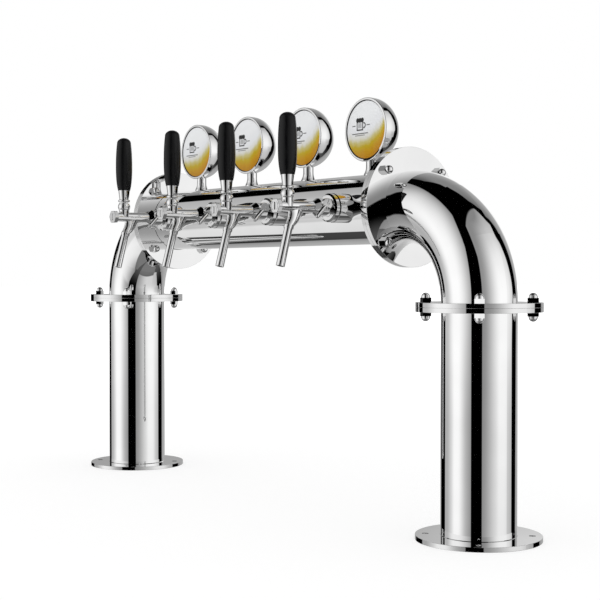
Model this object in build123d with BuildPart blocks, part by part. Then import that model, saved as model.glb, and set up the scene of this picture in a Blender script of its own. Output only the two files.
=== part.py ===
"""Bridge beer tower: two columns, two bends and a crossbar that carries four taps
and four badge medallions.

Millimetres. X runs along the crossbar, -Y is the side the drinks are poured on and
+Z is up. The origin is on the counter, in the middle of the tower's footprint.
Every tap is described by its distance forward of the crossbar's axis, its height
above that axis and its offset across, along X.
"""
from build123d import *
import math
import os

os.makedirs("parts", exist_ok=True)

# ------------------------------------------------------------- tower framework
tube_diameter = 102.0          # polished stainless tube of columns, bends, crossbar
tube_wall = 2.0
column_spacing = 890.0         # between the axes of the two columns
column_height = 311.0          # counter to the joint at the top of a column
bend_radius = 132.0            # centreline of the bends
flange_diameter = 170.0
flange_thickness = 6.4
flange_edge = 0.3              # rounding of every flange rim
weld_leg = 0.6                 # polished bead between a straight tube and its flange
line_hole_diameter = 80.0      # beer lines come up through the base flange

# ---------------------------------------------------------- flange joint fixings
bolt_circle_diameter = 142.0
bolt_count = 4
bolt_angle = 45.0              # first hole, from the pattern's own X direction
bolt_hole_diameter = 9.0
stud_diameter = 8.0
nut_flats = 13.0
nut_hex_height = 6.0
nut_dome_height = 7.0
nut_dome_inset = 0.4           # dome stands in from the flats
nut_thread_depth = 9.5
thread_clearance = 0.05        # radial, between a male and a female thread

# ------------------------------------------------------------------- tap pattern
tap_count = 4
tap_pitch = 150.0
collar_diameter = 42.0         # welded socket that a tap screws into
collar_length = 24.0           # in front of the tube's surface
collar_edge = 1.0              # chamfer of its rim

# -------------------------------------------------------------- shank of the tap
shank_diameter = 22.9
shank_flange_diameter = 31.8
shank_flange_thickness = 4.5
shank_inside_length = 14.0     # threaded length behind the tube's inner surface
hose_tail_length = 27.0
hose_tail_diameter = 8.8
barb_height = 0.7
barb_count = 3
line_bore_diameter = 6.4
cone_guide_bore = 8.0          # straight bore that the cone's tail slides in
cone_guide_depth = 21.5        # from the shank's front face to the end of that bore
cone_guide_length = 8.0
cone_mouth_diameter = 15.2     # tapered bore, at the shank's front face

# ------------------------------------------------------------------ coupling nut
coupling_nut_diameter = 41.0
coupling_nut_chamfer = 2.5     # round its front
coupling_nut_edge = 0.8        # chamfer round its back
coupling_groove_diameter = 34.0   # turned groove in the front face
coupling_groove_width = 2.0
coupling_groove_depth = 0.8
coupling_lip = 2.0
coupling_lip_gap = 0.3
coupling_back_gap = 0.4        # nut stays clear of the collar when it is tight

# ---------------------------------------------------------------------- tap body
body_flange_diameter = 30.4
body_flange_thickness = 2.5
housing_diameter = 26.0        # chamber of the flow compensator
housing_length = 20.0
housing_taper_length = 8.0
neck_diameter = 14.8
neck_length = 2.0
barrel_length = 58.0
barrel_back_diameter = 17.2
barrel_front_diameter = 14.4
chamber_diameter = 18.0
barrel_bore_diameter = 11.2
seat_offset = 12.0             # back of the barrel to the valve seat
seat_thickness = 3.0
seat_hole_diameter = 6.8
guide_bore_diameter = 10.0     # bore in front of the seat, for the valve shaft

# ------------------------------------------------------- branch and spout of a tap
# sections of the branch: drop below the tap axis, setback behind the barrel's front,
# length along the tap, width across it
branch_sections = (
    (2.0, 32.0, 40.0, 13.0),
    (12.4, 28.0, 20.8, 13.6),
    (22.5, 22.8, 18.8, 14.0),
)
branch_drop = 31.0             # tap axis to the middle of the branch's open end
branch_setback = 17.4          # of that point behind the front of the barrel
branch_diameter = 14.0         # ring at the open end
branch_ring_height = 4.6
spout_lean = 15.0              # degrees forward of straight down
spout_diameter = 11.8          # where it enters the branch
spout_tip_diameter = 12.6
spout_bore_diameter = 9.0
spout_socket_depth = 4.0
spout_length = 54.0            # below the branch
passage_mouth_length = 11.0    # opening between the guide bore and the branch
passage_mouth_width = 7.2
passage_mouth_drop = 2.5       # below the tap axis

# ------------------------------------------------------------- handle of the tap
handle_setback = 16.0          # handle axis behind the front of the barrel
handle_throw = 28.0            # degrees, from closed to fully open
pivot_height = 17.0            # centre of the ball above the tap axis
ball_diameter = 14.0
running_clearance = 0.05       # radial, between parts that turn or slide
boss_diameter = 17.0
boss_height = 12.0
boss_spigot_diameter = 15.0
boss_spigot_height = 3.0
bonnet_diameter = 20.0
bonnet_height = 11.0
bonnet_foot_diameter = 17.0
bonnet_top_diameter = 15.8
bonnet_mouth_diameter = 14.0
bonnet_mouth_depth = 2.1
stem_diameter = 6.0
finger_diameter = 3.2
finger_ball_diameter = 4.8
finger_length = 15.0           # ball centre to finger ball centre
finger_slot_gap = 0.15         # behind the finger's ball, at full throw
bead_clearance = 0.3           # bead over the bonnet's dome
bead_lip_diameter = 14.0
bead_diameter = 19.5
bead_height = 12.0             # top of the bead above the ball's centre
ferrule_length = 15.0
ferrule_bottom_diameter = 15.0
ferrule_top_diameter = 18.8
grip_stud_diameter = 8.0
grip_stud_length = 28.0
grip_length = 87.0
grip_bottom_diameter = 20.0
grip_belly_diameter = 27.0
grip_belly_height = 41.0
grip_bottom_slope = 0.25       # sideways for each millimetre up
grip_shoulder_diameter = 23.0
grip_shoulder_drop = 9.0       # below the top of the grip
grip_shoulder_slope = -0.12
grip_crown_flat = 3.0          # small flat on top

# ------------------------------------------------------------------ valve shaft
washer_diameter = 10.0
washer_thickness = 4.0
seat_stem_diameter = 3.6
shaft_rod_diameter = 4.4
shaft_land_length = 15.4
shaft_slot_gap = 0.35          # each side of the finger's ball
nose_rod_diameter = 5.0
stroke_factor = 0.97           # straight-line travel for the finger's swing

# --------------------------------------------------------------------- nose cap
nose_cap_thickness = 6.5
nose_cap_flats = 19.0
nose_cap_corner = 2.5
nose_cap_edge = 1.0
nose_boss_length = 8.0
nose_bore_end = 2.6            # metal left in front of the shaft's bore
nose_slot_length = 11.0
nose_slot_width = 3.2
nose_slot_depth = 1.5
nose_ring_diameter = 15.4      # turned groove round the slot
nose_ring_width = 0.9
nose_ring_depth = 0.5

# --------------------------------------------- flow lever and compensator cone
lever_setback = 14.0           # lever axle in front of the housing's back
lever_offset = 4.5             # axle above the tap axis
eccentric_radius = 2.5         # axle to the pin that moves the cone
lever_axle_diameter = 8.0
lever_boss_diameter = 12.4
lever_boss_reach = 13.2        # outer face of the axle boss, from the tap axis
lever_pin_diameter = 2.8
lever_pin_end = 4.4            # inner end of the eccentric pin, from the tap axis
lever_axle_inset = 0.5         # inner end of the axle, into the chamber
lever_hub_diameter = 16.4
lever_hub_thickness = 4.7
lever_hub_edge = 0.8
lever_eye_diameter = 5.0       # recess in the middle of the hub
lever_eye_depth = 0.8
lever_rod_diameter = 6.3
lever_rod_lift = 0.2           # rod stands off the hub's inner face
lever_rod_start = 5.5          # from the axle
lever_rod_end = 28.0
lever_rod_round = 2.6
lever_angle = 45.0             # below horizontal, as stored
lever_swing = 45.0             # to each side of that
cone_groove_gap = 0.2
cone_groove_floor = 6.4
cone_flange_diameter = 14.0
cone_flange_thickness = 3.4
cone_tip_diameter = 5.6
cone_tail_diameter = 3.2
cone_tail_length = 8.0
cone_wing_length = 4.0
cone_wing_count = 3
cone_wing_angle = 30.0
cone_flute_diameter = 4.0      # hollows between the wings

# --------------------------------------------------------------- badge medallion
medallion_diameter = 93.0
medallion_rise = 116.0         # centre above the crossbar's axis
medallion_face_reach = 12.5    # front rim in front of the crossbar's axis
medallion_rim_depth = 8.0
medallion_rim_round = 1.2
medallion_dome_depth = 41.0
medallion_wall = 1.5
bezel_lip_width = 3.2
bezel_lip_thickness = 1.5
badge_thickness = 2.0
badge_crown = 1.3
pole_flat = 1.0                # small flat in the middle of domed faces
badge_clearance = 0.2
post_top_diameter = 16.0
post_foot_diameter = 23.0
post_flare_height = 12.0
post_foot_slope = -0.6         # sideways for each millimetre up
post_stud_diameter = 10.0
post_stud_length = 15.0        # below the tube's outer surface
post_hole_clearance = 0.25
post_nut_flats = 17.0
post_nut_height = 8.0

# ---------------------------------------------------------------- worked-out sizes
tube_radius = tube_diameter / 2
tube_bore_radius = tube_radius - tube_wall
flange_radius = flange_diameter / 2
column_x = column_spacing / 2
bar_z = column_height + flange_thickness + bend_radius
bar_joint_x = column_x - flange_thickness - bend_radius
tap_positions = [(i - (tap_count - 1) / 2) * tap_pitch for i in range(tap_count)]

collar_face = tube_radius + collar_length
body_back = collar_face + shank_flange_thickness
flange_front = body_back + body_flange_thickness
housing_front = flange_front + housing_length
neck_back = housing_front + housing_taper_length
barrel_back = neck_back + neck_length
barrel_front = barrel_back + barrel_length
nose_front = barrel_front + nose_cap_thickness
seat_back = barrel_back + seat_offset
seat_front = seat_back + seat_thickness
handle_reach = barrel_front - handle_setback
spout_reach = barrel_front - branch_setback
lever_reach = flange_front + lever_setback
valve_stroke = finger_length * stroke_factor * math.radians(handle_throw)
cone_travel = eccentric_radius * math.radians(lever_swing)

tower_y = (nose_front - flange_radius) / 2     # puts the footprint's middle on Y = 0


def tap_point(forward, up, across=0.0):
    """A point given in the tap's own distances."""
    return (across, tower_y - forward, bar_z + up)


tap_side = Plane(origin=tap_point(0, 0), x_dir=(0, -1, 0), z_dir=(-1, 0, 0))
tap_axis = Axis(tap_point(0, 0), (0, -1, 0))
handle_side = Plane(origin=tap_point(handle_reach, pivot_height), x_dir=(0, -1, 0), z_dir=(-1, 0, 0))
handle_axis = Axis(tap_point(handle_reach, pivot_height), (0, 0, 1))
lean = math.radians(spout_lean)
branch_end = Plane(
    origin=tap_point(spout_reach, -branch_drop),
    x_dir=(0, math.cos(lean), -math.sin(lean)),
    z_dir=(0, math.sin(lean), math.cos(lean)),
)


def save(label, *pieces):
    """Write the solids of one or more finished pieces to a STEP file of that name."""
    node = Compound([solid for piece in pieces for solid in piece.solids()])
    node.label = label
    export_step(node, f"parts/{label}.step")


def ring_flange(joint, hole_radius, with_bead):
    """Ring flange standing on a joint plane, with or without a weld bead round its tube."""
    with BuildPart() as ring:
        with BuildSketch(joint):
            Circle(flange_radius)
            Circle(hole_radius, mode=Mode.SUBTRACT)
            with PolarLocations(bolt_circle_diameter / 2, bolt_count, start_angle=bolt_angle):
                Circle(bolt_hole_diameter / 2, mode=Mode.SUBTRACT)
        extrude(amount=flange_thickness)
        circles = ring.edges().filter_by(GeomType.CIRCLE)
        fillet(circles.filter_by(lambda e: e.radius > flange_radius - 0.01), flange_edge)
        if with_bead:
            with BuildSketch(Plane(origin=joint.origin, x_dir=joint.x_dir, z_dir=joint.y_dir)):
                with BuildLine():
                    Polyline(
                        (tube_radius, -flange_thickness),
                        (tube_radius + weld_leg, -flange_thickness),
                        (tube_radius, -flange_thickness - weld_leg),
                        close=True,
                    )
                make_face()
            revolve(axis=Axis(joint.origin, joint.z_dir))
    return ring.part


def quarter_to_flat(flat_radius, radius):
    """Degrees of a quarter arc that stops where a small flat on the pole begins."""
    return math.degrees(math.acos(flat_radius / radius))


def flat_height(flat_radius, radius, height):
    """Height of that flat, on an oval dome of the given radius and height."""
    return height * math.sqrt(1 - (flat_radius / radius) ** 2)


def on_sphere(radius, height):
    """Distance from a sphere's axis of the point on it at a height above its centre."""
    return math.sqrt(radius**2 - height**2)


# ======================================================================= columns
for side, x in (("left", -column_x), ("right", column_x)):
    counter_plane = Plane(origin=(x, tower_y, 0))
    save(f"{side}_base_flange", ring_flange(counter_plane, line_hole_diameter / 2, with_bead=True))

    with BuildPart() as column_tube:
        with BuildSketch(counter_plane.offset(flange_thickness)):
            Circle(tube_radius)
            Circle(tube_bore_radius, mode=Mode.SUBTRACT)
        extrude(amount=column_height - flange_thickness)
    top_joint = Plane(origin=(x, tower_y, column_height), x_dir=(1, 0, 0), z_dir=(0, 0, -1))
    save(f"{side}_column", column_tube.part, ring_flange(top_joint, tube_radius, with_bead=True))

# ========================================================================= bends
for side, sign in (("left", -1), ("right", 1)):
    foot_joint = Plane(origin=(sign * column_x, tower_y, column_height))
    bar_joint = Plane(origin=(sign * bar_joint_x, tower_y, bar_z), x_dir=(0, 1, 0), z_dir=(sign, 0, 0))
    bend_side = Plane(
        origin=(sign * (bar_joint_x + flange_thickness), tower_y, column_height + flange_thickness),
        x_dir=(sign, 0, 0),
        z_dir=(0, -sign, 0),
    )
    # three lengths end to end, each through its share of the quarter turn; the first and the
    # last also run straight through their flanges
    bend_tubes = []
    for number, joint in enumerate((foot_joint, None, bar_joint)):
        with BuildPart() as bend_tube:
            with BuildLine(bend_side):
                bend = CenterArc((0, 0), bend_radius, 30 * number, 30)
            with BuildSketch(Plane(origin=bend @ 0, z_dir=bend % 0)):
                Circle(tube_radius)
                Circle(tube_bore_radius, mode=Mode.SUBTRACT)
            sweep(path=bend)
            if joint:
                with BuildSketch(joint):
                    Circle(tube_radius)
                    Circle(tube_bore_radius, mode=Mode.SUBTRACT)
                extrude(amount=flange_thickness)
        bend_tubes.append(bend_tube.part)
    foot_flange = ring_flange(foot_joint, tube_radius, with_bead=False)
    bar_flange = ring_flange(bar_joint, tube_radius, with_bead=False)
    save(f"{side}_elbow", *bend_tubes, foot_flange, bar_flange)

# ====================================================================== crossbar
bar_middle = Plane(origin=(0, tower_y, bar_z), x_dir=(0, 1, 0), z_dir=(1, 0, 0))
bar_left = Plane(origin=(-bar_joint_x, tower_y, bar_z), x_dir=(0, 1, 0), z_dir=(1, 0, 0))
bar_right = Plane(origin=(bar_joint_x, tower_y, bar_z), x_dir=(0, 1, 0), z_dir=(-1, 0, 0))
socket_face = Plane(origin=tap_point(collar_face, 0), x_dir=(1, 0, 0), z_dir=(0, 1, 0))

with BuildPart() as bar_tube:
    with BuildSketch(bar_middle):
        Circle(tube_radius)
        Circle(tube_bore_radius, mode=Mode.SUBTRACT)
    extrude(amount=bar_joint_x, both=True)
    with BuildSketch(socket_face):
        with Locations([(x, 0) for x in tap_positions]):
            Circle(shank_diameter / 2 + thread_clearance)
    extrude(amount=collar_face, mode=Mode.SUBTRACT)
    with BuildSketch(Plane(origin=(0, tower_y, bar_z))):
        with Locations([(x, 0) for x in tap_positions]):
            Circle(post_stud_diameter / 2 + post_hole_clearance)
    extrude(amount=tube_diameter, mode=Mode.SUBTRACT)

with BuildPart() as collar:
    with BuildSketch(socket_face):
        Circle(collar_diameter / 2)
    extrude(amount=collar_face)
    chamfer(collar.faces().sort_by(Axis.Y)[0].edges(), collar_edge)
    with BuildSketch(bar_middle):
        Circle(tube_radius)
    extrude(amount=collar_diameter, both=True, mode=Mode.SUBTRACT)
    with BuildSketch(socket_face):
        Circle(shank_diameter / 2 + thread_clearance)
    extrude(amount=collar_face, mode=Mode.SUBTRACT)

save(
    "crossbar",
    bar_tube.part,
    *[Pos(x, 0, 0) * collar.part for x in tap_positions],
    *[ring_flange(joint, tube_radius, with_bead=True) for joint in (bar_left, bar_right)],
)

# =================================================== studs and dome nuts of the joints
with BuildPart() as dome_nut:
    with BuildSketch(Plane.XY):
        RegularPolygon(nut_flats / 2, 6, major_radius=False)
    extrude(amount=nut_hex_height)
    dome_radius = nut_flats / 2 - nut_dome_inset
    dome_centre = nut_hex_height + nut_dome_height - dome_radius
    with BuildSketch(Plane.XY):
        Circle(dome_radius)
    extrude(amount=dome_centre)
    with Locations((0, 0, dome_centre)):
        Sphere(dome_radius)
    with BuildSketch(Plane.XY):
        Circle(stud_diameter / 2 + thread_clearance)
    extrude(amount=nut_thread_depth, mode=Mode.SUBTRACT)

stud_length = 2 * (flange_thickness + nut_thread_depth)
joint_planes = []
for sign in (-1, 1):
    joint_planes.append(Plane(origin=(sign * column_x, tower_y, column_height)))
    joint_planes.append(Plane(origin=(sign * bar_joint_x, tower_y, bar_z), x_dir=(0, 1, 0), z_dir=(1, 0, 0)))

with BuildPart() as flange_studs:
    for joint in joint_planes:
        with Locations(joint):
            with PolarLocations(bolt_circle_diameter / 2, bolt_count, start_angle=bolt_angle):
                Cylinder(stud_diameter / 2, stud_length)
save("flange_studs", flange_studs.part)

with BuildPart() as flange_dome_nuts:
    for joint in joint_planes:
        back = Plane(origin=joint.origin, x_dir=joint.x_dir, z_dir=-joint.z_dir)
        for face in (joint.offset(flange_thickness), back.offset(flange_thickness)):
            with Locations(face):
                with PolarLocations(bolt_circle_diameter / 2, bolt_count, start_angle=bolt_angle):
                    add(dome_nut.part)
save("flange_dome_nuts", flange_dome_nuts.part)

# ==================================================================== tap: shank
shank_back = tube_bore_radius - shank_inside_length
hose_end = shank_back - hose_tail_length
barb_pitch = hose_tail_length / (barb_count + 1)
with BuildPart() as shank:
    outline = [(hose_end, 0), (hose_end, hose_tail_diameter / 2)]
    for i in range(barb_count):
        crest = hose_end + (i + 1) * barb_pitch
        outline.append((crest, hose_tail_diameter / 2 + barb_height))
        outline.append((crest, hose_tail_diameter / 2))
    outline += [
        (shank_back, hose_tail_diameter / 2),
        (shank_back, shank_diameter / 2),
        (collar_face, shank_diameter / 2),
        (collar_face, shank_flange_diameter / 2),
        (body_back, shank_flange_diameter / 2),
        (body_back, 0),
    ]
    with BuildSketch(tap_side):
        with BuildLine():
            Polyline(*outline, close=True)
        make_face()
    revolve(axis=tap_axis)
    guide_front = body_back - cone_guide_depth
    with BuildSketch(tap_side):
        with BuildLine():
            Polyline(
                (hose_end, 0),
                (hose_end, line_bore_diameter / 2),
                (guide_front - cone_guide_length, line_bore_diameter / 2),
                (guide_front - cone_guide_length, cone_guide_bore / 2),
                (guide_front, cone_guide_bore / 2),
                (body_back, cone_mouth_diameter / 2),
                (body_back, 0),
                close=True,
            )
        make_face()
    revolve(axis=tap_axis, mode=Mode.SUBTRACT)

# ============================================================= tap: coupling nut
with BuildPart() as coupling_nut:
    nut_back = collar_face + coupling_back_gap
    nut_front = flange_front + coupling_lip
    nut_radius = coupling_nut_diameter / 2
    groove_radius = coupling_groove_diameter / 2
    lip_radius = housing_diameter / 2 + coupling_lip_gap
    thread_radius = shank_flange_diameter / 2 + thread_clearance
    with BuildSketch(tap_side):
        with BuildLine():
            Polyline(
                (nut_back, thread_radius),
                (nut_back, nut_radius - coupling_nut_edge),
                (nut_back + coupling_nut_edge, nut_radius),
                (nut_front - coupling_nut_chamfer, nut_radius),
                (nut_front, nut_radius - coupling_nut_chamfer),
                (nut_front, groove_radius),
                (nut_front - coupling_groove_depth, groove_radius),
                (nut_front - coupling_groove_depth, groove_radius - coupling_groove_width),
                (nut_front, groove_radius - coupling_groove_width),
                (nut_front, lip_radius),
                (flange_front, lip_radius),
                (flange_front, thread_radius),
                close=True,
            )
        make_face()
    revolve(axis=tap_axis)

# ===================================================================== tap: body
with BuildPart() as tap_body:
    with BuildSketch(tap_side):
        with BuildLine():
            Polyline(
                (body_back, 0),
                (body_back, body_flange_diameter / 2),
                (flange_front, body_flange_diameter / 2),
                (flange_front, housing_diameter / 2),
                (housing_front, housing_diameter / 2),
                (neck_back, neck_diameter / 2),
                (barrel_back, neck_diameter / 2),
                (barrel_back, barrel_back_diameter / 2),
                (barrel_front, barrel_front_diameter / 2),
                (barrel_front, 0),
                close=True,
            )
        make_face()
    revolve(axis=tap_axis)
    # the branch runs from a long oval under the barrel to a round ring
    for drop, setback, length, width in branch_sections:
        with BuildSketch(Plane(origin=tap_point(barrel_front - setback, -drop))):
            Ellipse(width / 2, length / 2)
    with BuildSketch(branch_end.offset(branch_ring_height)):
        Circle(branch_diameter / 2)
    loft()
    with BuildSketch(branch_end):
        Circle(branch_diameter / 2)
    extrude(amount=branch_ring_height)
    with BuildSketch(Plane(origin=tap_point(handle_reach, 0))):
        Circle(boss_diameter / 2)
    extrude(amount=boss_height)
    with BuildSketch(Plane(origin=tap_point(handle_reach, boss_height))):
        Circle(boss_spigot_diameter / 2)
    extrude(amount=boss_spigot_height)
    axle_plane = Plane(origin=tap_point(lever_reach, lever_offset), x_dir=(0, -1, 0), z_dir=(1, 0, 0))
    with BuildSketch(axle_plane):
        Circle(lever_boss_diameter / 2)
    extrude(amount=lever_boss_reach)
    # bores along the tap
    with BuildSketch(tap_side):
        with BuildLine():
            Polyline(
                (body_back, 0),
                (body_back, chamber_diameter / 2),
                (housing_front, chamber_diameter / 2),
                (neck_back, barrel_bore_diameter / 2),
                (seat_back, barrel_bore_diameter / 2),
                (seat_back, seat_hole_diameter / 2),
                (seat_front, seat_hole_diameter / 2),
                (seat_front, guide_bore_diameter / 2),
                (barrel_front, guide_bore_diameter / 2),
                (barrel_front, 0),
                close=True,
            )
        make_face()
    revolve(axis=tap_axis, mode=Mode.SUBTRACT)
    # passage from the guide bore down to the spout
    open_land_back = handle_reach - shaft_land_length / 2 - valve_stroke
    passage_mouth = tap_point((seat_front + open_land_back) / 2, -passage_mouth_drop)
    with BuildSketch(Plane(origin=passage_mouth)):
        Ellipse(passage_mouth_width / 2, passage_mouth_length / 2)
    with BuildSketch(branch_end.offset(spout_socket_depth)):
        Circle(spout_bore_diameter / 2)
    loft(mode=Mode.SUBTRACT)
    with BuildSketch(branch_end):
        Circle(spout_diameter / 2)
    extrude(amount=spout_socket_depth, mode=Mode.SUBTRACT)
    # socket of the ball and the way for the lever's finger
    with Locations(tap_point(handle_reach, pivot_height)):
        Sphere(ball_diameter / 2 + running_clearance, mode=Mode.SUBTRACT)
    throw = math.radians(handle_throw)
    spigot_top = boss_height + boss_spigot_height
    slot_half = finger_ball_diameter / 2 + shaft_slot_gap
    back_reach = (finger_ball_diameter / 2 + finger_slot_gap) / math.cos(throw)
    with BuildSketch(tap_side):
        with BuildLine():
            Polyline(
                (handle_reach + slot_half, 0),
                (handle_reach + slot_half, spigot_top),
                (handle_reach - (pivot_height - spigot_top) * math.tan(throw) - back_reach, spigot_top),
                (handle_reach - pivot_height * math.tan(throw) - back_reach, 0),
                close=True,
            )
        make_face()
    extrude(amount=slot_half, both=True, mode=Mode.SUBTRACT)
    with BuildSketch(axle_plane):
        Circle(lever_axle_diameter / 2 + running_clearance)
    extrude(amount=lever_boss_reach, mode=Mode.SUBTRACT)

# ==================================================================== tap: spout
with BuildPart() as spout:
    with BuildSketch(Plane(origin=branch_end.origin, x_dir=-branch_end.z_dir, z_dir=(-1, 0, 0))):
        with BuildLine():
            Polyline(
                (-spout_socket_depth, spout_bore_diameter / 2),
                (-spout_socket_depth, spout_diameter / 2),
                (0, spout_diameter / 2),
                (spout_length, spout_tip_diameter / 2),
                (spout_length, spout_bore_diameter / 2),
                close=True,
            )
        make_face()
    revolve(axis=Axis(branch_end.origin, -branch_end.z_dir))

# ================================================================= tap: nose cap
with BuildPart() as nose_cap:
    cap_back = Plane(origin=tap_point(barrel_front, 0), x_dir=(1, 0, 0), z_dir=(0, -1, 0))
    with BuildSketch(cap_back) as cap_outline:
        RegularPolygon(nose_cap_flats / 2, 6, major_radius=False)
        fillet(cap_outline.vertices(), nose_cap_corner)
    extrude(amount=nose_cap_thickness)
    front_rim = nose_cap.faces().sort_by(Axis.Y)[0].edges()
    fillet(front_rim, nose_cap_edge)
    with BuildSketch(cap_back):
        Circle(guide_bore_diameter / 2 - thread_clearance)
    extrude(amount=-nose_boss_length)
    with BuildSketch(cap_back.offset(-nose_boss_length)):
        Circle(nose_rod_diameter / 2 + running_clearance)
    extrude(amount=nose_boss_length + nose_cap_thickness - nose_bore_end, mode=Mode.SUBTRACT)
    cap_front = cap_back.offset(nose_cap_thickness)
    with BuildSketch(cap_front):
        SlotOverall(nose_slot_length, nose_slot_width, rotation=90)
    extrude(amount=-nose_slot_depth, mode=Mode.SUBTRACT)
    with BuildSketch(cap_front):
        Circle(nose_ring_diameter / 2)
        Circle(nose_ring_diameter / 2 - nose_ring_width, mode=Mode.SUBTRACT)
    extrude(amount=-nose_ring_depth, mode=Mode.SUBTRACT)

# ============================================================== tap: valve shaft
land_back = handle_reach - shaft_land_length / 2
land_front = handle_reach + shaft_land_length / 2
with BuildPart() as valve_shaft:
    with BuildSketch(tap_side):
        with BuildLine():
            Polyline(
                (seat_back - washer_thickness, 0),
                (seat_back - washer_thickness, washer_diameter / 2),
                (seat_back, washer_diameter / 2),
                (seat_back, seat_stem_diameter / 2),
                (seat_front, seat_stem_diameter / 2),
                (seat_front, shaft_rod_diameter / 2),
                (land_back, shaft_rod_diameter / 2),
                (land_back, guide_bore_diameter / 2 - running_clearance),
                (land_front, guide_bore_diameter / 2 - running_clearance),
                (land_front, nose_rod_diameter / 2),
                (nose_front - nose_bore_end - shaft_slot_gap, nose_rod_diameter / 2),
                (nose_front - nose_bore_end - shaft_slot_gap, 0),
                close=True,
            )
        make_face()
    revolve(axis=tap_axis)
    with BuildSketch(Plane(origin=tap_point(handle_reach, -guide_bore_diameter / 2))):
        Rectangle(2 * slot_half, 2 * slot_half)
    extrude(amount=guide_bore_diameter, mode=Mode.SUBTRACT)

# ================================================================== tap: bonnet
bonnet_foot = boss_height - pivot_height
bonnet_top = bonnet_foot + bonnet_height
socket_radius = ball_diameter / 2 + running_clearance
socket_floor = bonnet_foot + boss_spigot_height + 2 * running_clearance
socket_top = bonnet_top - bonnet_mouth_depth
with BuildPart() as bonnet:
    spigot_radius = boss_spigot_diameter / 2 + thread_clearance
    with BuildSketch(handle_side):
        with BuildLine():
            Polyline(
                (on_sphere(socket_radius, socket_floor), socket_floor),
                (spigot_radius, socket_floor),
                (spigot_radius, bonnet_foot),
                (bonnet_foot_diameter / 2, bonnet_foot),
            )
            ThreePointArc(
                (bonnet_foot_diameter / 2, bonnet_foot),
                (bonnet_diameter / 2, (bonnet_foot + bonnet_top) / 2),
                (bonnet_top_diameter / 2, bonnet_top),
            )
            Polyline(
                (bonnet_top_diameter / 2, bonnet_top),
                (bonnet_mouth_diameter / 2, bonnet_top),
                (on_sphere(socket_radius, socket_top), socket_top),
            )
            ThreePointArc(
                (on_sphere(socket_radius, socket_top), socket_top),
                (socket_radius, 0),
                (on_sphere(socket_radius, socket_floor), socket_floor),
            )
        make_face()
    revolve(axis=handle_axis)

# ============================================================ tap: handle lever
ball_radius = ball_diameter / 2
finger_radius = finger_diameter / 2
finger_ball_radius = finger_ball_diameter / 2
stem_radius = stem_diameter / 2
bead_hollow_radius = bonnet_diameter / 2 + bead_clearance
ferrule_top = bead_height + ferrule_length
with BuildPart() as handle_lever:
    finger_top = on_sphere(ball_radius, finger_radius)
    finger_neck = finger_length - on_sphere(finger_ball_radius, finger_radius)
    lip_radius = bead_lip_diameter / 2
    lip_height = on_sphere(bead_hollow_radius, lip_radius)
    middle_radius = (stem_radius + lip_radius) / 2
    with BuildSketch(handle_side):
        with BuildLine():
            ThreePointArc(
                (0, -finger_length - finger_ball_radius),
                (finger_ball_radius, -finger_length),
                (finger_radius, -finger_neck),
            )
            Line((finger_radius, -finger_neck), (finger_radius, -finger_top))
            ThreePointArc(
                (finger_radius, -finger_top),
                (ball_radius, 0),
                (stem_radius, on_sphere(ball_radius, stem_radius)),
            )
            Line(
                (stem_radius, on_sphere(ball_radius, stem_radius)),
                (stem_radius, on_sphere(bead_hollow_radius, stem_radius)),
            )
            ThreePointArc(
                (stem_radius, on_sphere(bead_hollow_radius, stem_radius)),
                (middle_radius, on_sphere(bead_hollow_radius, middle_radius)),
                (lip_radius, lip_height),
            )
            ThreePointArc(
                (lip_radius, lip_height),
                (bead_diameter / 2, (lip_height + bead_height) / 2),
                (ferrule_bottom_diameter / 2, bead_height),
            )
            Polyline(
                (ferrule_bottom_diameter / 2, bead_height),
                (ferrule_top_diameter / 2, ferrule_top),
                (grip_stud_diameter / 2, ferrule_top),
                (grip_stud_diameter / 2, ferrule_top + grip_stud_length),
                (0, ferrule_top + grip_stud_length),
                (0, -finger_length - finger_ball_radius),
            )
        make_face()
    revolve(axis=handle_axis)

# ==================================================================== tap: grip
with BuildPart() as grip:
    grip_top = ferrule_top + grip_length
    shoulder = grip_top - grip_shoulder_drop
    with BuildSketch(handle_side):
        with BuildLine():
            Line((0, ferrule_top), (grip_bottom_diameter / 2, ferrule_top))
            Spline(
                (grip_bottom_diameter / 2, ferrule_top),
                (grip_belly_diameter / 2, ferrule_top + grip_belly_height),
                (grip_shoulder_diameter / 2, shoulder),
                tangents=((grip_bottom_slope, 1), (grip_shoulder_slope, 1)),
            )
            shoulder_radius = grip_shoulder_diameter / 2
            flat_radius = grip_crown_flat / 2
            crown_sweep = quarter_to_flat(flat_radius, shoulder_radius)
            EllipticalCenterArc((0, shoulder), shoulder_radius, grip_shoulder_drop, 0, arc_size=crown_sweep)
            crown = shoulder + flat_height(flat_radius, shoulder_radius, grip_shoulder_drop)
            Polyline((flat_radius, crown), (0, crown), (0, ferrule_top))
        make_face()
    revolve(axis=handle_axis)
    with BuildSketch(Plane(origin=tap_point(handle_reach, pivot_height + ferrule_top))):
        Circle(grip_stud_diameter / 2 + thread_clearance)
    extrude(amount=grip_stud_length, mode=Mode.SUBTRACT)

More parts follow.
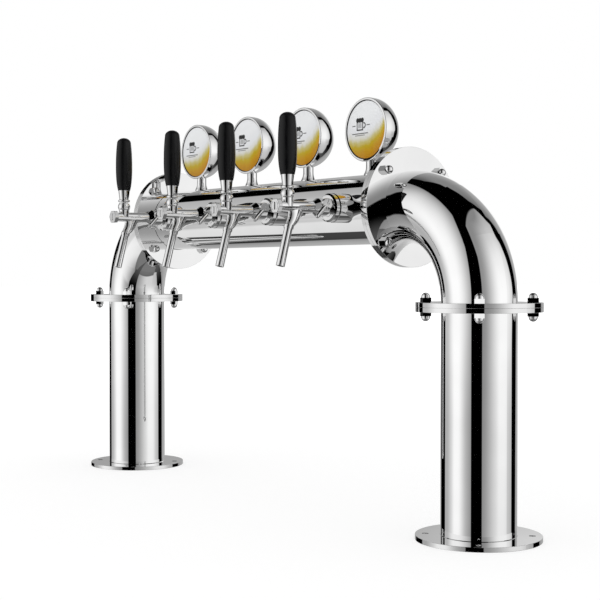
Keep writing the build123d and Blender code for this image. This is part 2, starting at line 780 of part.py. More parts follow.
# ============================================================= tap: flow lever
with BuildPart() as flow_lever:
    hub_start = lever_boss_reach + 2 * running_clearance
    axle_start = chamber_diameter / 2 - lever_axle_inset
    with BuildSketch(axle_plane.offset(axle_start)):
        Circle(lever_axle_diameter / 2)
    extrude(amount=hub_start - axle_start)
    pin_centre = tap_point(lever_reach, lever_offset - eccentric_radius, lever_pin_end)
    with BuildSketch(Plane(origin=pin_centre, x_dir=(0, -1, 0), z_dir=(1, 0, 0))):
        Circle(lever_pin_diameter / 2)
    extrude(amount=axle_start - lever_pin_end)
    with BuildSketch(axle_plane.offset(hub_start)):
        Circle(lever_hub_diameter / 2)
    extrude(amount=lever_hub_thickness)
    fillet(flow_lever.faces().sort_by(Axis.X)[-1].edges(), lever_hub_edge)
    with BuildSketch(axle_plane.offset(hub_start + lever_hub_thickness)):
        Circle(lever_eye_diameter / 2)
    extrude(amount=-lever_eye_depth, mode=Mode.SUBTRACT)
    slope = math.radians(lever_angle)
    rod_across = hub_start + lever_rod_lift + lever_rod_diameter / 2
    rod_line = Plane(
        origin=tap_point(lever_reach, lever_offset, rod_across),
        x_dir=(1, 0, 0),
        z_dir=(0, -math.cos(slope), -math.sin(slope)),
    )
    with BuildSketch(rod_line.offset(lever_rod_start)):
        Circle(lever_rod_diameter / 2)
    extrude(amount=lever_rod_end - lever_rod_start)
    rod_tip = flow_lever.faces().sort_by(Axis(rod_line.origin, rod_line.z_dir))[-1]
    fillet(rod_tip.edges(), lever_rod_round)

# ====================================================== tap: compensator cone
with BuildPart() as compensator_cone:
    groove_half = lever_pin_diameter / 2 + cone_groove_gap
    groove_back = lever_reach - groove_half
    groove_front = lever_reach + groove_half
    wide_back = groove_back - cone_flange_thickness
    tip = guide_front + cone_travel
    tail_end = tip - cone_tail_length
    with BuildSketch(tap_side):
        with BuildLine():
            Polyline(
                (tail_end, 0),
                (tail_end, cone_tail_diameter / 2),
                (tip, cone_tail_diameter / 2),
                (tip, cone_tip_diameter / 2),
                (wide_back, cone_flange_diameter / 2),
                (groove_back, cone_flange_diameter / 2),
                (groove_back, cone_groove_floor / 2),
                (groove_front, cone_groove_floor / 2),
                (groove_front, cone_flange_diameter / 2),
                (groove_front + cone_flange_thickness, cone_flange_diameter / 2),
                (groove_front + cone_flange_thickness, 0),
                close=True,
            )
        make_face()
    revolve(axis=tap_axis)
    wing_plane = Plane(origin=tap_point(tail_end, 0), x_dir=(1, 0, 0), z_dir=(0, -1, 0))
    with BuildSketch(wing_plane):
        Circle(cone_guide_bore / 2 - running_clearance)
        with PolarLocations(cone_guide_bore / 2, cone_wing_count, start_angle=cone_wing_angle):
            Circle(cone_flute_diameter / 2, mode=Mode.SUBTRACT)
    extrude(amount=cone_wing_length)

# ================================================== the taps at their stations
tap_pieces = {
    "shank": shank,
    "body": tap_body,
    "spout": spout,
    "nose_cap": nose_cap,
    "bonnet": bonnet,
    "handle_lever": handle_lever,
    "grip": grip,
    "valve_shaft": valve_shaft,
    "flow_lever": flow_lever,
    "compensator_cone": compensator_cone,
}
for number, x in enumerate(tap_positions, start=1):
    for name, piece in tap_pieces.items():
        save(f"tap_{number}_{name}", Pos(x, 0, 0) * piece.part)

with BuildPart() as tap_coupling_nuts:
    for x in tap_positions:
        with Locations((x, 0, 0)):
            add(coupling_nut.part)
save("tap_coupling_nuts", tap_coupling_nuts.part)

# ============================================================ badge medallions
medallion_radius = medallion_diameter / 2
rim_front = medallion_face_reach
rim_back = medallion_face_reach - medallion_rim_depth
badge_front = rim_front - bezel_lip_thickness
badge_back = badge_front - badge_thickness
seat_radius = medallion_radius - bezel_lip_width - badge_clearance
medallion_side = Plane(origin=tap_point(0, medallion_rise), x_dir=(0, -1, 0), z_dir=(-1, 0, 0))
medallion_axis = Axis(tap_point(0, medallion_rise), (0, -1, 0))
crown_drop = tube_radius - medallion_rise      # tube's crown below the medallion's centre

with BuildPart() as medallion_housing:
    with BuildSketch(medallion_side):
        with BuildLine():
            Line((rim_front, 0), (rim_front, medallion_radius))
            Line((rim_front, medallion_radius), (rim_back, medallion_radius))
            shell_sweep = quarter_to_flat(pole_flat / 2, medallion_radius)
            dome_depth = medallion_dome_depth
            EllipticalCenterArc((rim_back, 0), dome_depth, medallion_radius, 90, arc_size=shell_sweep)
            shell_pole = rim_back - flat_height(pole_flat / 2, medallion_radius, dome_depth)
            Polyline((shell_pole, pole_flat / 2), (shell_pole, 0), (rim_front, 0))
        make_face()
    revolve(axis=medallion_axis)
    fillet(medallion_housing.edges().group_by(Axis.Y)[0], medallion_rim_round)
    with BuildSketch(Plane(origin=medallion_side.origin, x_dir=(0, -1, 0), z_dir=(-1, 0, 0))):
        with BuildLine():
            foot_radius = post_foot_diameter / 2
            top_radius = post_top_diameter / 2
            bottom = crown_drop - foot_radius**2 / tube_radius
            Line((0, bottom), (foot_radius, bottom))
            Line((foot_radius, bottom), (foot_radius, crown_drop))
            Spline(
                (foot_radius, crown_drop),
                (top_radius, crown_drop + post_flare_height),
                tangents=((post_foot_slope, 1), (0, 1)),
            )
            Line((top_radius, crown_drop + post_flare_height), (top_radius, -medallion_radius / 2))
            Line((top_radius, -medallion_radius / 2), (0, -medallion_radius / 2))
            Line((0, -medallion_radius / 2), (0, bottom))
        make_face()
    revolve(axis=Axis(tap_point(0, medallion_rise), (0, 0, 1)))
    with BuildSketch(Plane(origin=(0, tower_y, bar_z), x_dir=(0, 1, 0), z_dir=(1, 0, 0))):
        Circle(tube_radius)
    extrude(amount=post_foot_diameter, both=True, mode=Mode.SUBTRACT)
    with BuildSketch(Plane(origin=tap_point(0, tube_radius - post_stud_length))):
        Circle(post_stud_diameter / 2)
    extrude(amount=post_stud_length + foot_radius)
    # inside of the shell, with the seat that the badge rests against
    inner_radius = medallion_radius - medallion_wall
    with BuildSketch(medallion_side):
        with BuildLine():
            Polyline(
                (rim_front, 0),
                (rim_front, medallion_radius - bezel_lip_width),
                (badge_front, medallion_radius - bezel_lip_width),
                (badge_front, inner_radius),
                (badge_back, inner_radius),
                (badge_back, seat_radius - badge_clearance),
                (badge_back - medallion_wall, seat_radius - badge_clearance),
                (badge_back - medallion_wall, inner_radius),
                (rim_back, inner_radius),
            )
            inner_depth = medallion_dome_depth - medallion_wall
            inner_sweep = quarter_to_flat(pole_flat / 2, inner_radius)
            EllipticalCenterArc((rim_back, 0), inner_depth, inner_radius, 90, arc_size=inner_sweep)
            inner_pole = rim_back - flat_height(pole_flat / 2, inner_radius, inner_depth)
            Polyline((inner_pole, pole_flat / 2), (inner_pole, 0), (rim_front, 0))
        make_face()
    revolve(axis=medallion_axis, mode=Mode.SUBTRACT)

with BuildPart() as medallion_badge:
    window_radius = medallion_radius - bezel_lip_width - badge_clearance
    edge_radius = medallion_radius - medallion_wall - badge_clearance
    with BuildSketch(medallion_side):
        with BuildLine():
            Polyline(
                (badge_back, 0),
                (badge_back, edge_radius),
                (badge_front, edge_radius),
                (badge_front, window_radius),
            )
            badge_pole = badge_front + badge_crown
            half_way_crown = badge_crown * (1 - (1 / 2) ** 2)     # a shallow dome at half its radius
            ThreePointArc(
                (badge_front, window_radius),
                (badge_front + half_way_crown, window_radius / 2),
                (badge_pole, pole_flat / 2),
            )
            Polyline((badge_pole, pole_flat / 2), (badge_pole, 0), (badge_back, 0))
        make_face()
    revolve(axis=medallion_axis)

with BuildPart() as post_nut:
    with BuildSketch(Plane(origin=tap_point(0, tube_bore_radius - post_nut_height))):
        RegularPolygon(post_nut_flats / 2, 6, major_radius=False)
    extrude(amount=post_nut_height)
    with BuildSketch(Plane(origin=(0, tower_y, bar_z), x_dir=(0, 1, 0), z_dir=(1, 0, 0))):
        Circle(tube_bore_radius)
    extrude(amount=post_nut_flats, both=True, mode=Mode.INTERSECT)
    with BuildSketch(Plane(origin=tap_point(0, tube_bore_radius - post_nut_height))):
        Circle(post_stud_diameter / 2 + thread_clearance)
    extrude(amount=post_nut_height, mode=Mode.SUBTRACT)

for number, x in enumerate(tap_positions, start=1):
    save(f"medallion_{number}_housing", Pos(x, 0, 0) * medallion_housing.part)
    save(f"medallion_{number}_badge", Pos(x, 0, 0) * medallion_badge.part)

with BuildPart() as medallion_nuts:
    for x in tap_positions:
        with Locations((x, 0, 0)):
            add(post_nut.part)
save("medallion_nuts", medallion_nuts.part)
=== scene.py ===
"""Bridge beer tower with four taps: the finishes of its pieces, and the studio round it."""
import bpy
import math
from mathutils import Matrix, Vector


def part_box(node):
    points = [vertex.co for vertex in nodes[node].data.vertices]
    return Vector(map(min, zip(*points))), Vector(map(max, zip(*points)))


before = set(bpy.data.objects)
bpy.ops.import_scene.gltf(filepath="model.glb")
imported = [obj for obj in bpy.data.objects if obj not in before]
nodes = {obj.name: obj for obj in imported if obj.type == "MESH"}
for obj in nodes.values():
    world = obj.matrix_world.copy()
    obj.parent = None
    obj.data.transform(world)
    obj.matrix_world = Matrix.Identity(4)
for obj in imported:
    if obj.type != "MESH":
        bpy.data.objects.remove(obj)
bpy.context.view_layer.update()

TAPS = (1, 2, 3, 4)

# in metres
TAP_PITCH = 0.150
BADGE_RADIUS = 0.0433      # of the badge inside its bezel
BADGE_RISE = 0.116         # from the axis of the crossbar up to the middle of a badge
PLATE = 0.0066             # thickness of a flange, and a little over
JOINT_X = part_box("crossbar")[1].x
JOINT_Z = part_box("left_column")[1].z
BAR_Z = sum(corner.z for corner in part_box("crossbar")) / 2
TOWER_Y = sum(corner.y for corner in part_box("left_column")) / 2

LAMP_PLACE = (-1.334, 2.314, 1.196)
LAMP_AIM = (0.45, 0.03, 0.42)
LAMP_RADIUS = 1.0
FLOOR_SIZE = 60.0
FLOOR_DROP = 0.0002        # keeps the floor clear of the flanges that stand on it
CAMERA_RIGHT = 1.6966      # past the middle of the tower
CAMERA_AHEAD = 1.2662      # in front of the axis of the columns
CAMERA_HEIGHT = 0.3555

# in degrees and millimetres
CAMERA_HEADING = 52.38
CAMERA_PITCH = 1.14
CAMERA_LENS = 79.41
CAMERA_SENSOR = 36.0


# ------------------------------------------------------------------ node wiring
def link(tree, source, target):
    tree.links.new(source, target)


def set_input(tree, socket, value):
    if isinstance(value, bpy.types.NodeSocket):
        link(tree, value, socket)
    else:
        socket.default_value = value


def calc(tree, operation, *values, clamp=False):
    """One Math node; values are sockets or numbers."""
    node = tree.nodes.new("ShaderNodeMath")
    node.operation = operation
    node.use_clamp = clamp
    for socket, value in zip(node.inputs, values):
        set_input(tree, socket, value)
    return node.outputs[0]


def plus(tree, first, second):
    return calc(tree, "ADD", first, second)


def less(tree, first, second):
    return calc(tree, "SUBTRACT", first, second)


def times(tree, first, second):
    return calc(tree, "MULTIPLY", first, second)


def product(tree, *masks):
    whole = masks[0]
    for mask in masks[1:]:
        whole = times(tree, whole, mask)
    return whole


def join(tree, *masks):
    whole = masks[0]
    for mask in masks[1:]:
        whole = calc(tree, "MAXIMUM", whole, mask)
    return whole


def cut(tree, mask, hole):
    return times(tree, mask, less(tree, 1.0, hole))


def between(tree, value, low, high):
    """1 from low to high, 0 outside."""
    return times(tree, calc(tree, "GREATER_THAN", value, low), calc(tree, "LESS_THAN", value, high))


def distance(tree, across, along):
    """Length of a line from its reach across and its reach along."""
    squares = [calc(tree, "POWER", calc(tree, "ABSOLUTE", side), 2.0) for side in (across, along)]
    return calc(tree, "SQRT", plus(tree, *squares))


def ease(tree, value, start, end, low=0.0, high=1.0):
    """Value from start to end, eased into low to high."""
    node = tree.nodes.new("ShaderNodeMapRange")
    node.interpolation_type = "SMOOTHSTEP"
    set_input(tree, node.inputs["Value"], value)
    node.inputs["From Min"].default_value = start
    node.inputs["From Max"].default_value = end
    node.inputs["To Min"].default_value = low
    node.inputs["To Max"].default_value = high
    return node.outputs["Result"]


def ramp(tree, value, stops):
    """Colour ramp through (place, colour) stops; a colour may be one grey number."""
    node = tree.nodes.new("ShaderNodeValToRGB")
    elements = node.color_ramp.elements
    while len(elements) < len(stops):
        elements.new(0.5)
    for element, (place, colour) in zip(elements, stops):
        element.position = place
        element.color = (colour,) * 3 + (1,) if isinstance(colour, float) else (*colour, 1)
    set_input(tree, node.inputs["Fac"], value)
    return node.outputs["Color"]


def mix_colour(tree, share, first, second, blend="MIX"):
    """The first colour, turned by a share into the second; the second may be a plain colour."""
    node = tree.nodes.new("ShaderNodeMix")
    node.data_type = "RGBA"
    node.blend_type = blend
    set_input(tree, node.inputs["Factor"], share)
    sockets = {socket.name: socket for socket in node.inputs if socket.type == "RGBA"}
    link(tree, first, sockets["A"])
    if not isinstance(second, bpy.types.NodeSocket):
        second = (*second, 1)
    set_input(tree, sockets["B"], second)
    return [socket for socket in node.outputs if socket.type == "RGBA"][0]


def separate(tree, vector):
    parts = tree.nodes.new("ShaderNodeSeparateXYZ")
    link(tree, vector, parts.inputs["Vector"])
    return parts.outputs


def noise(tree, vector, scale, detail, roughness):
    node = tree.nodes.new("ShaderNodeTexNoise")
    link(tree, vector, node.inputs["Vector"])
    node.inputs["Scale"].default_value = scale
    node.inputs["Detail"].default_value = detail
    node.inputs["Roughness"].default_value = roughness
    return node.outputs["Fac"]


def object_place(tree, scale=(1, 1, 1)):
    """Object coordinates through a Mapping node, which draws a pattern out along an axis."""
    place = tree.nodes.new("ShaderNodeTexCoord")
    mapping = tree.nodes.new("ShaderNodeMapping")
    mapping.inputs["Scale"].default_value = scale
    link(tree, place.outputs["Object"], mapping.inputs["Vector"])
    return mapping.outputs["Vector"]


def reach_of(tree, vector):
    """Distance of a place from the origin."""
    node = tree.nodes.new("ShaderNodeVectorMath")
    node.operation = "LENGTH"
    link(tree, vector, node.inputs[0])
    return node.outputs["Value"]


def new_finish(name):
    """A new material with one Principled shader; returns material, tree and shader."""
    finish = bpy.data.materials.new(name)
    finish.use_nodes = True
    tree = finish.node_tree
    return finish, tree, tree.nodes["Principled BSDF"]


def bare_finish(name):
    """A new material with no nodes yet; returns material and tree."""
    finish = bpy.data.materials.new(name)
    finish.use_nodes = True
    finish.node_tree.nodes.clear()
    return finish, finish.node_tree


def bump(tree, shader, height, depth):
    node = tree.nodes.new("ShaderNodeBump")
    node.inputs["Strength"].default_value = 1.0
    node.inputs["Distance"].default_value = depth
    link(tree, height, node.inputs["Height"])
    link(tree, node.outputs["Normal"], shader.inputs["Normal"])


def colour_and_roughness(tree, shader, colour, pattern, smooth, rough):
    """Colour of a finish, and its roughness by a pattern."""
    link(tree, colour, shader.inputs["Base Color"])
    link(tree, ease(tree, pattern, 0.3, 0.7, smooth, rough), shader.inputs["Roughness"])


# ---------------------------------------------------------------------- finishes
def on_plates(tree):
    """1 on the cut plate of the flanges, at the joints and on the counter, 0 on the tubes; where
    the plates get their painted shade.
    """
    parts = separate(tree, object_place(tree))
    aside, height = calc(tree, "ABSOLUTE", parts["X"]), parts["Z"]
    at_bar = between(tree, aside, JOINT_X - PLATE, JOINT_X + PLATE)
    at_column = between(tree, height, JOINT_Z - PLATE, JOINT_Z + PLATE)
    return join(tree, at_bar, at_column, calc(tree, "LESS_THAN", height, PLATE))


def polished_metal(name, light, dark, smooth, rough, ripple, stretch=(1, 1, 1), plate_painted_shade=None):
    """Mirror-polished metal with faint polishing marks drawn out along one axis, and flange
    plates painted a shade greyer: painted shade for their dimmer reflections."""
    finish, tree, shader = new_finish(name)
    shader.inputs["Metallic"].default_value = 1.0
    marks = noise(tree, object_place(tree, stretch), scale=900.0, detail=3.0, roughness=0.6)
    haze = noise(tree, object_place(tree), scale=22.0, detail=2.0, roughness=0.5)
    colour = ramp(tree, haze, [(0.35, dark), (0.65, light)])
    # painted shade: the flange plates are darkened to stand in for their dimmer reflections
    if plate_painted_shade:
        plate_colour_painted_darker = mix_colour(tree, 1.0, colour, (plate_painted_shade,) * 3, "MULTIPLY")
        colour = mix_colour(tree, on_plates(tree), colour, plate_colour_painted_darker)
    wear = times(tree, plus(tree, marks, haze), 0.5)
    colour_and_roughness(tree, shader, colour, wear, smooth, rough)
    waves = noise(tree, object_place(tree), scale=60.0, detail=1.0, roughness=0.4)
    bump(tree, shader, waves, ripple)
    return finish


def turned_steel(name):
    """Machined stainless with fine turned lines."""
    finish, tree, shader = new_finish(name)
    shader.inputs["Metallic"].default_value = 1.0
    lines = noise(tree, object_place(tree, (1, 14, 1)), scale=700.0, detail=2.0, roughness=0.5)
    colour = ramp(tree, lines, [(0.3, (0.50, 0.49, 0.47)), (0.7, (0.64, 0.63, 0.61))])
    colour_and_roughness(tree, shader, colour, lines, smooth=0.22, rough=0.34)
    bump(tree, shader, lines, depth=0.00003)
    return finish


def black_lacquer(name):
    """Black moulded grip: a deep satin black with faint flow marks along its length."""
    finish, tree, shader = new_finish(name)
    cloud = noise(tree, object_place(tree, (1, 1, 0.12)), scale=420.0, detail=3.0, roughness=0.55)
    colour = ramp(tree, cloud, [(0.3, (0.0022, 0.0022, 0.0026)), (0.7, (0.0050, 0.0050, 0.0055))])
    colour_and_roughness(tree, shader, colour, cloud, smooth=0.20, rough=0.30)
    shader.inputs["Specular IOR Level"].default_value = 0.22
    grain = noise(tree, object_place(tree), scale=900.0, detail=2.0, roughness=0.5)
    bump(tree, shader, grain, depth=0.00001)
    return finish


def white_plastic(name):
    finish, tree, shader = new_finish(name)
    cloud = noise(tree, object_place(tree), scale=250.0, detail=2.0, roughness=0.5)
    colour = ramp(tree, cloud, [(0.3, (0.74, 0.74, 0.71)), (0.7, (0.80, 0.80, 0.77))])
    colour_and_roughness(tree, shader, colour, cloud, smooth=0.40, rough=0.5)
    return finish


# A badge is printed on a disc whose middle is (0, 0) and whose edge is at 1 from it.
PRINT_SOFT = 0.012         # half the width of the soft edge of a printed shape


def disc_mask(tree, u, v, centre, radius):
    """1 inside a circle on the badge, 0 outside."""
    reach = distance(tree, less(tree, u, centre[0]), less(tree, v, centre[1]))
    return ease(tree, reach, radius + PRINT_SOFT, radius - PRINT_SOFT)


def bar_mask(tree, u, v, centre, half_wide, half_high):
    """1 inside an upright rectangle on the badge, 0 outside."""
    across = calc(tree, "ABSOLUTE", less(tree, u, centre[0]))
    along = calc(tree, "ABSOLUTE", less(tree, v, centre[1]))
    return times(tree, ease(tree, across, half_wide + PRINT_SOFT, half_wide - PRINT_SOFT),
                 ease(tree, along, half_high + PRINT_SOFT, half_high - PRINT_SOFT))


def glass_emblem(tree, u, v):
    """Plain pictogram: a handled beer glass with foam, between short lines."""
    def disc(centre, radius):
        return disc_mask(tree, u, v, centre, radius)

    def bar(centre, half_wide, half_high):
        return bar_mask(tree, u, v, centre, half_wide, half_high)

    foam = join(tree, *[disc((across, 0.33), 0.085) for across in (-0.40, -0.28, -0.16)])
    glass = cut(tree, bar((-0.28, 0.15), 0.17, 0.17), bar((-0.28, 0.15), 0.125, 0.125))
    ribs = join(tree, *[bar((across, 0.15), 0.014, 0.085) for across in (-0.34, -0.28, -0.22)])
    handle = cut(tree, disc((-0.08, 0.15), 0.105), disc((-0.08, 0.15), 0.06))
    handle = cut(tree, handle, bar((-0.25, 0.15), 0.15, 0.2))
    lines = join(tree, bar((-0.28, -0.12), 0.42, 0.014), bar((-0.28, -0.18), 0.26, 0.010),
                 bar((-0.60, 0.15), 0.09, 0.014), bar((0.15, 0.15), 0.09, 0.014))
    return join(tree, foam, glass, ribs, handle, lines)


def badge_print(name, centre_z):
    """Printed badge under clear lacquer: pale grey over an amber wave, with a plain glass
    emblem and a black ring round the edge: partly a printed line, partly painted shade of the
    bezel's inner lip."""
    finish, tree, shader = new_finish(name)
    parts = separate(tree, tree.nodes.new("ShaderNodeTexCoord").outputs["Object"])
    station = calc(tree, "FLOORED_MODULO", plus(tree, parts["X"], 2 * TAP_PITCH), TAP_PITCH)
    u = calc(tree, "DIVIDE", less(tree, station, TAP_PITCH / 2), BADGE_RADIUS)
    v = calc(tree, "DIVIDE", less(tree, parts["Z"], centre_z), BADGE_RADIUS)
    # the wave lies level on the left and climbs on the right, with a ragged edge
    wave_start, wave_climb, wave_level, wave_ragged = -0.15, 0.51, -0.44, 0.30
    climb = calc(tree, "POWER", calc(tree, "MAXIMUM", less(tree, u, wave_start), 0.0), 2.0)
    height = less(tree, less(tree, v, times(tree, climb, wave_climb)), wave_level)
    streak = noise(tree, object_place(tree, (1, 1, 0.35)), scale=95.0, detail=3.0, roughness=0.55)
    height = plus(tree, height, times(tree, less(tree, streak, 0.5), wave_ragged))
    colour = ramp(tree, plus(tree, times(tree, height, 0.6), 0.5), [
        (0.14, (0.46, 0.195, 0.004)), (0.30, (0.52, 0.27, 0.005)), (0.42, (0.50, 0.36, 0.012)),
        (0.52, (0.55, 0.49, 0.20)), (0.60, (0.67, 0.66, 0.60)), (0.72, (0.75, 0.76, 0.78)),
        (1.0, (0.80, 0.81, 0.82)),
    ])
    colour = mix_colour(tree, glass_emblem(tree, u, v), colour, (0.012, 0.012, 0.012))
    # black ring at the rim: partly a printed line, partly painted shade where the bezel's inner lip
    # darkens the badge
    keyline_and_lip_shade = ease(tree, distance(tree, u, v), 0.962, 0.972)
    colour = mix_colour(tree, keyline_and_lip_shade, colour, (0.006, 0.006, 0.006))
    colour_and_roughness(tree, shader, colour, streak, smooth=0.30, rough=0.38)
    shader.inputs["Specular IOR Level"].default_value = 0.12
    shader.inputs["Coat Weight"].default_value = 0.22
    shader.inputs["Coat Roughness"].default_value = 0.03
    return finish


# the flange plates of the tubes are painted a shade darker: painted shade for their dimmer
# reflections
tube_steel = dict(light=0.93, dark=0.90, smooth=0.006, rough=0.020, ripple=0.0000004,
                  plate_painted_shade=0.88)
tube_upright = polished_metal("tube_steel_upright", stretch=(1, 1, 0.04), **tube_steel)
tube_level = polished_metal("tube_steel_level", stretch=(0.04, 1, 1), **tube_steel)
tube_bend = polished_metal("tube_steel_bend", **tube_steel)
chrome = polished_metal("chrome_plate", light=0.90, dark=0.84, smooth=0.002, rough=0.010,
                        ripple=0.0000003)
bare_steel = turned_steel("turned_stainless")
grip_black = black_lacquer("grip_black")
acetal = white_plastic("white_acetal")
badge_colour = badge_print("badge_print", BAR_Z + BADGE_RISE)


def dress(finish, *names):
    for name in names:
        node = nodes[name]
        node.data.materials.clear()
        node.data.materials.append(finish)


for side in ("left", "right"):
    dress(tube_bend, f"{side}_base_flange", f"{side}_elbow")
    dress(tube_upright, f"{side}_column")
dress(tube_level, "crossbar")
dress(bare_steel, "flange_studs", "medallion_nuts")
dress(chrome, "flange_dome_nuts", "tap_coupling_nuts")
for number in TAPS:
    for piece in ("body", "spout", "nose_cap", "bonnet", "handle_lever", "flow_lever"):
        dress(chrome, f"tap_{number}_{piece}")
    dress(bare_steel, f"tap_{number}_shank", f"tap_{number}_valve_shaft")
    dress(acetal, f"tap_{number}_compensator_cone")
    dress(grip_black, f"tap_{number}_grip")
    dress(chrome, f"medallion_{number}_housing")
    dress(badge_colour, f"medallion_{number}_badge")


# ------------------------------------------------------------------------ studio
# The softboxes are drawn in the world by direction from the tower. Their edges and fades are
# in degrees, aside from the box's own heading or in elevation, with left and right as the
# tower mirrors them.
def degrees_ease(tree, angle, start, end, low=0.0, high=1.0):
    return ease(tree, angle, math.radians(start), math.radians(end), low, high)


def angle_from(tree, azimuth, heading):
    """Azimuth measured from a heading, wrapped to half a turn each way."""
    return calc(tree, "WRAP", less(tree, azimuth, math.radians(heading)), math.pi, -math.pi)


def past(tree, angle, start, end=90.0):
    """How far an angle is past a start, up to an end."""
    beyond = calc(tree, "MAXIMUM", less(tree, angle, math.radians(start)), 0.0)
    return calc(tree, "MINIMUM", beyond, math.radians(end - start))


def leaning(tree, edge, *leans):
    """A side edge of a box; each lean moves it by a share of the angle past a height."""
    place = math.radians(edge)
    for share, beyond in leans:
        place = plus(tree, times(tree, beyond, share), place)
    return place


def softbox(tree, aside, elevation, left, right, facing, top, foot, flat_foot=False):
    """Outline of a tall flat softbox: 1 on it and 0 off it, and its width alone. Seen from
    the tower, its level edges sink away from where it faces, but for a flat foot."""
    inside = times(tree, degrees_ease(tree, less(tree, aside, left), -1.0, 1.0),
                   degrees_ease(tree, less(tree, aside, right), 1.0, -1.0))
    turned = less(tree, aside, math.radians(facing))
    slope = calc(tree, "MAXIMUM", calc(tree, "COSINE", turned), 0.05)
    upper = calc(tree, "ARCTANGENT", times(tree, slope, math.tan(math.radians(top))))
    below_top = degrees_ease(tree, less(tree, upper, elevation), -1.0, 1.0)
    if flat_foot:
        above_foot = degrees_ease(tree, elevation, foot - 1.5, foot + 1.5)
    else:
        lower = calc(tree, "ARCTANGENT", times(tree, slope, math.tan(math.radians(foot))))
        above_foot = degrees_ease(tree, less(tree, elevation, lower), -1.5, 1.5)
    return product(tree, inside, below_top, above_foot), inside


def dims_upwards(tree, elevation, reach, power):
    """Brightness that falls with height on a box, to nothing at the reach."""
    share = calc(tree, "DIVIDE", calc(tree, "MAXIMUM", elevation, 0.0), math.radians(reach))
    return calc(tree, "SUBTRACT", 1.0, calc(tree, "POWER", share, power), clamp=True)


def glow(tree, base, peak, *fades):
    """Brightness from base to peak by the product of the fades."""
    return plus(tree, times(tree, product(tree, *fades), peak - base), base)


def waist(tree, elevation, *sides):
    """Light kept in the low band of a box that the upright tubes mirror, dimmer on its sides."""
    band = times(tree, degrees_ease(tree, elevation, -1, -7),
                 degrees_ease(tree, elevation, -17, -12))
    return less(tree, 1.0, times(tree, band, plus(tree, *sides)))


def pour_side_box(tree, azimuth, elevation):
    """The box on the side that pours, a little to the left."""
    aside = angle_from(tree, azimuth, -121)
    low = times(tree, elevation, -1.0)
    left = leaning(tree, -45.4, (-0.10, past(tree, elevation, 0, 25)),
                   (-1.2, past(tree, low, 13, 17)))
    right = leaning(tree, 52.5, (-0.5, past(tree, elevation, 32)), (0.42, past(tree, low, 18)))
    shape, width = softbox(tree, aside, elevation, left, right, facing=4, top=61.3, foot=-55)
    left_side = join(tree, degrees_ease(tree, aside, -36, -4, 0.50, 1.0),
                     degrees_ease(tree, elevation, -12, -24, 0.0, 0.86))
    right_side = degrees_ease(tree, aside, 74, 9, 0.12, 1.0)
    below = times(tree, degrees_ease(tree, elevation, -26, 2, 0.86, 1.0),
                  degrees_ease(tree, elevation, -62, -20, 0.84, 1.0))
    dimmer = waist(tree, elevation, degrees_ease(tree, aside, 10, 40, 0.0, 0.34),
                   degrees_ease(tree, aside, 0, -15, 0.0, 0.2))
    above = dims_upwards(tree, elevation, reach=68, power=2.0)
    light = glow(tree, 0.08, 1.07, right_side, left_side, above, below, dimmer)
    return times(tree, shape, light), width


def right_side_box(tree, azimuth, elevation):
    """The box at the right-hand end of the tower."""
    aside = angle_from(tree, azimuth, 18)
    low = times(tree, elevation, -1.0)
    left = leaning(tree, -54, (-0.4, past(tree, elevation, 32)))
    right = leaning(tree, 55.2, (-0.25, past(tree, elevation, 8, 28)),
                    (-1.2, past(tree, low, -1, 3)), (-3.3, past(tree, low, 14, 16)))
    shape, width = softbox(tree, aside, elevation, left, right, facing=-3, top=71.8, foot=-43.5,
                           flat_foot=True)
    dimmer = waist(tree, elevation, degrees_ease(tree, aside, 18, 40, 0.0, 0.34),
                   degrees_ease(tree, aside, 2, -14, 0.0, 0.15))
    # the brightest place is off the middle, and drifts back to it lower down
    drift = times(tree, past(tree, low, 3, 17), 0.8)
    aside = plus(tree, less(tree, aside, math.radians(9)), drift)
    left_side = degrees_ease(tree, aside, -61, -3, 0.05, 1.0)
    right_side = degrees_ease(tree, aside, 58, 9, 0.46, 1.0)
    above = dims_upwards(tree, elevation, reach=65, power=2.1)
    below = degrees_ease(tree, elevation, -26, 4, 0.55, 1.0)
    light = glow(tree, 0.25, 1.07, left_side, right_side, above, below, dimmer)
    return times(tree, shape, light), width


def back_side_box(tree, azimuth, elevation):
    """The weakest box, behind the tower on the left."""
    aside = angle_from(tree, azimuth, 133)
    low = times(tree, elevation, -1.0)
    left = leaning(tree, -35, (-0.33, past(tree, elevation, 0, 40)),
                   (-0.4, past(tree, low, 0, 30)))
    right = leaning(tree, 27.5, (0.28, past(tree, elevation, 0, 40)))
    shape, width = softbox(tree, aside, elevation, left, right, facing=-3, top=69.6, foot=-47,
                           flat_foot=True)
    left_side = degrees_ease(tree, aside, -56, -18, 0.60, 1.0)
    right_side = degrees_ease(tree, aside, 44, 8, 0.42, 1.0)
    above = degrees_ease(tree, elevation, 60, 20, 0.24, 0.44)
    return times(tree, shape, product(tree, left_side, right_side, above)), width


def glossy_choice(tree, plain, mirrored):
    """One shader for the camera and soft light, and another for what polished metal mirrors."""
    ray = tree.nodes.new("ShaderNodeLightPath")
    choose = tree.nodes.new("ShaderNodeMixShader")
    link(tree, ray.outputs["Is Glossy Ray"], choose.inputs["Fac"])
    link(tree, plain, choose.inputs[1])
    link(tree, mirrored, choose.inputs[2])
    return choose.outputs[0]


def summed(tree, first, second):
    """The light of two shaders together."""
    node = tree.nodes.new("ShaderNodeAddShader")
    link(tree, first, node.inputs[0])
    link(tree, second, node.inputs[1])
    return node.outputs[0]


def output(tree, kind, shader):
    link(tree, shader, tree.nodes.new(kind).inputs["Surface"])


def white_light(tree, strength):
    node = tree.nodes.new("ShaderNodeBackground")
    node.inputs["Color"].default_value = (1.0, 1.0, 1.0, 1)
    set_input(tree, node.inputs["Strength"], strength)
    return node.outputs[0]


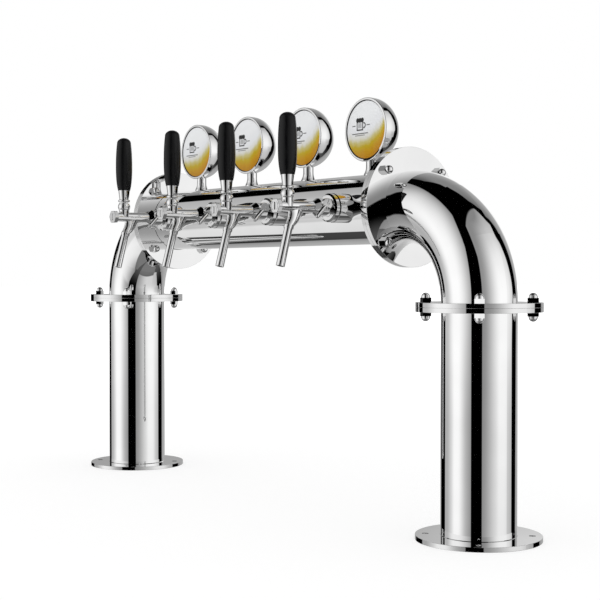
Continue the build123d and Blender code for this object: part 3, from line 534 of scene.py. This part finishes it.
def studio_world():
    """Three tall softboxes round the tower with dark gaps between them, for what polished
    metal mirrors; an even soft light for everything else; white where the camera looks past."""
    world = bpy.data.worlds.new("studio")
    bpy.context.scene.world = world
    world.use_nodes = True
    tree = world.node_tree
    tree.nodes.clear()
    parts = separate(tree, tree.nodes.new("ShaderNodeTexCoord").outputs["Generated"])
    elevation = calc(tree, "ARCSINE", parts["Z"])
    azimuth = calc(tree, "ARCTAN2", parts["Y"], parts["X"])
    boxes, widths = pour_side_box(tree, azimuth, elevation)
    for box in (right_side_box, back_side_box):
        light, width = box(tree, azimuth, elevation)
        boxes = plus(tree, boxes, light)
        widths = calc(tree, "ADD", widths, width, clamp=True)
    # the counter under the boxes is mirrored as a grey, a little lighter in front of a box
    ground = times(tree, degrees_ease(tree, elevation, -14, -60),
                   plus(tree, times(tree, widths, 0.10), 0.095))
    for_metal = white_light(tree, calc(tree, "MAXIMUM", boxes, ground))
    shader = glossy_choice(tree, white_light(tree, 1.0), for_metal)
    output(tree, "ShaderNodeOutputWorld", shader)


def lamp_disc():
    """Round diffused lamp behind the tower, brightest in its middle, which only polished metal
    mirrors."""
    place = Vector(LAMP_PLACE)
    facing = (Vector(LAMP_AIM) - place).to_track_quat("Z", "Y").to_euler()
    bpy.ops.object.select_all(action="DESELECT")
    bpy.ops.mesh.primitive_circle_add(vertices=96, radius=LAMP_RADIUS, fill_type="NGON",
                                      location=place, rotation=facing)
    lamp = bpy.context.object
    lamp.name = "round_lamp"
    finish, tree = bare_finish("lamp_light")
    ray = tree.nodes.new("ShaderNodeLightPath")
    shine = tree.nodes.new("ShaderNodeEmission")
    light = ease(tree, reach_of(tree, object_place(tree)), 0.97, 0.21, 0.0, 0.64)
    link(tree, times(tree, light, ray.outputs["Is Glossy Ray"]), shine.inputs["Strength"])
    clear = tree.nodes.new("ShaderNodeBsdfTransparent")
    output(tree, "ShaderNodeOutputMaterial", summed(tree, shine.outputs[0], clear.outputs[0]))
    lamp.data.materials.append(finish)


def pale_floor():
    """White counter top that keeps the tower's soft shadow and fades into the white behind."""
    bpy.ops.object.select_all(action="DESELECT")
    bpy.ops.mesh.primitive_plane_add(size=FLOOR_SIZE, location=(0, 0, -FLOOR_DROP))
    floor = bpy.context.object
    floor.name = "counter"
    finish, tree = bare_finish("counter_white")
    matt = tree.nodes.new("ShaderNodeBsdfDiffuse")
    matt.inputs["Color"].default_value = (0.36, 0.36, 0.36, 1)
    shine = tree.nodes.new("ShaderNodeEmission")
    reach = reach_of(tree, object_place(tree))
    link(tree, ease(tree, reach, 0.8, 4.0, 0.66, 1.0), shine.inputs["Strength"])
    top = summed(tree, matt.outputs[0], shine.outputs[0])
    clear = tree.nodes.new("ShaderNodeBsdfTransparent")
    output(tree, "ShaderNodeOutputMaterial", glossy_choice(tree, top, clear.outputs[0]))
    floor.data.materials.append(finish)


def camera():
    """Long lens in front of the tower and past its right-hand end, level with the bends."""
    heading, pitch = math.radians(CAMERA_HEADING), math.radians(CAMERA_PITCH)
    right = Vector((math.cos(heading), math.sin(heading), 0))
    ahead = Vector((-math.sin(heading) * math.cos(pitch), math.cos(heading) * math.cos(pitch),
                    -math.sin(pitch)))
    above = right.cross(ahead)
    data = bpy.data.cameras.new("camera")
    data.sensor_width = CAMERA_SENSOR
    data.lens = CAMERA_LENS
    stand = bpy.data.objects.new("camera", data)
    bpy.context.scene.collection.objects.link(stand)
    turn = Matrix((right, above, -ahead)).transposed()
    place = (CAMERA_RIGHT, TOWER_Y - CAMERA_AHEAD, CAMERA_HEIGHT)
    stand.matrix_world = Matrix.Translation(place) @ turn.to_4x4()
    bpy.context.scene.camera = stand


studio_world()
lamp_disc()
pale_floor()
camera()
bpy.context.scene.view_settings.view_transform = "Standard"
